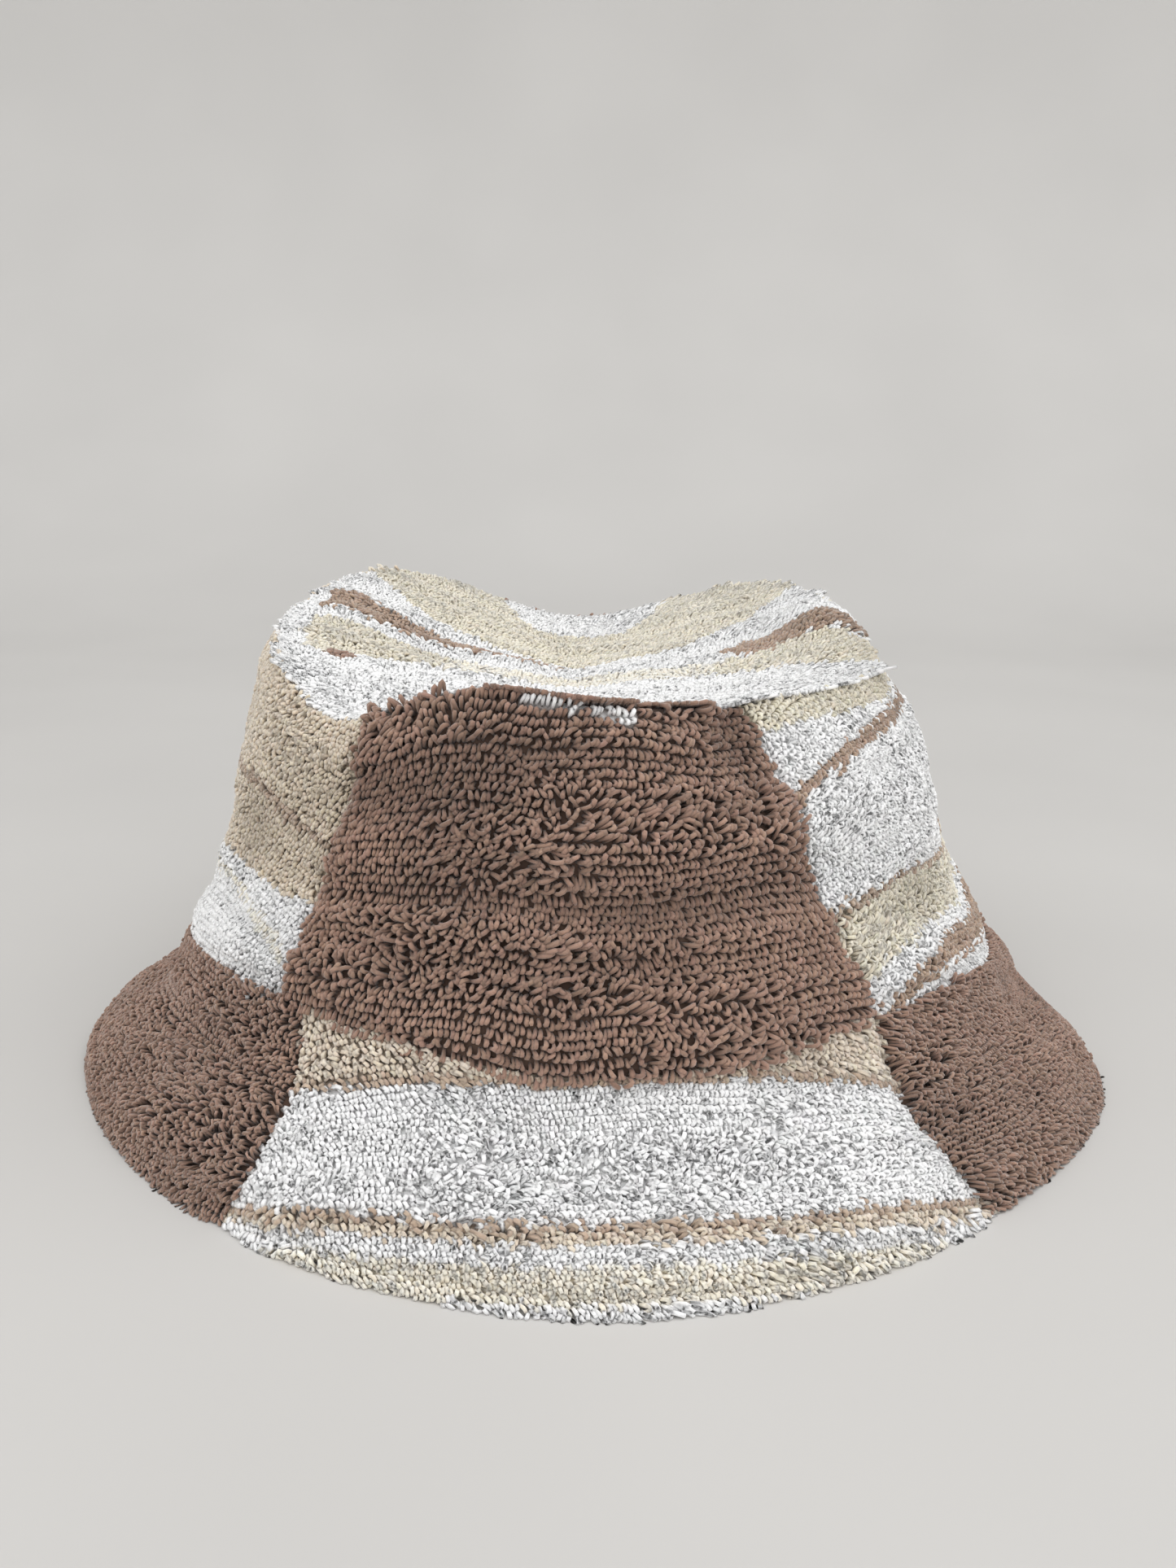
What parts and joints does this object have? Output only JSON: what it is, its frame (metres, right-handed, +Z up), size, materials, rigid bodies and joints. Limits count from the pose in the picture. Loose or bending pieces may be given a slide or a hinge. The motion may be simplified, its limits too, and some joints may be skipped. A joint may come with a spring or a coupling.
{
  "type": "bucket hat",
  "caption": "Soft bucket hat of looped towelling: a patchwork crown with a sagging tip, a sloping patchwork brim, a cotton lining and a sweatband.",
  "frame": {"origin": "centre of the bounding box at its base, the plane that the hem stands on", "axes": "+Z up through the crown, -Y towards the front panel, +X to the viewer's right when facing the front"},
  "size_m": [0.2451, 0.2752, 0.1094],
  "materials": {
    "brown_towelling": "looped cotton towelling in one brown, matt, with loops about 3 mm tall",
    "striped_towelling": "looped cotton towelling, white with cream, tan and brown stripes, matt",
    "cream_towelling": "looped cotton towelling, wide beige band with white and thin brown stripes, matt",
    "lining_cotton": "plain-woven cotton, matt",
    "sweatband_twill": "cotton twill, matt with a faint diagonal rib",
    "interfacing_felt": "pressed white felt, matt",
    "sewing_thread": "twisted sewing thread with a slight sheen"
  },
  "bodies": {
    "root": {"crown_tip": "striped_towelling", "crown_side_front": "brown_towelling", "crown_side_right": "striped_towelling", "crown_side_back": "brown_towelling", "crown_side_left": "cream_towelling", "brim_top_front": "striped_towelling", "brim_top_right": "brown_towelling", "brim_top_back": "striped_towelling", "brim_top_left": "brown_towelling", "brim_under_front": "striped_towelling", "brim_under_right": "striped_towelling", "brim_under_back": "striped_towelling", "brim_under_left": "striped_towelling", "brim_interfacing": "interfacing_felt", "brim_thread_inner": "sewing_thread", "brim_thread_outer": "sewing_thread", "lining_tip": "lining_cotton", "lining_side_front": "lining_cotton", "lining_side_right": "lining_cotton", "lining_side_back": "lining_cotton", "lining_side_left": "lining_cotton", "sweatband": "sweatband_twill", "sweatband_thread": "sewing_thread", "size_tab": "interfacing_felt"}
  },
  "joints": []
}
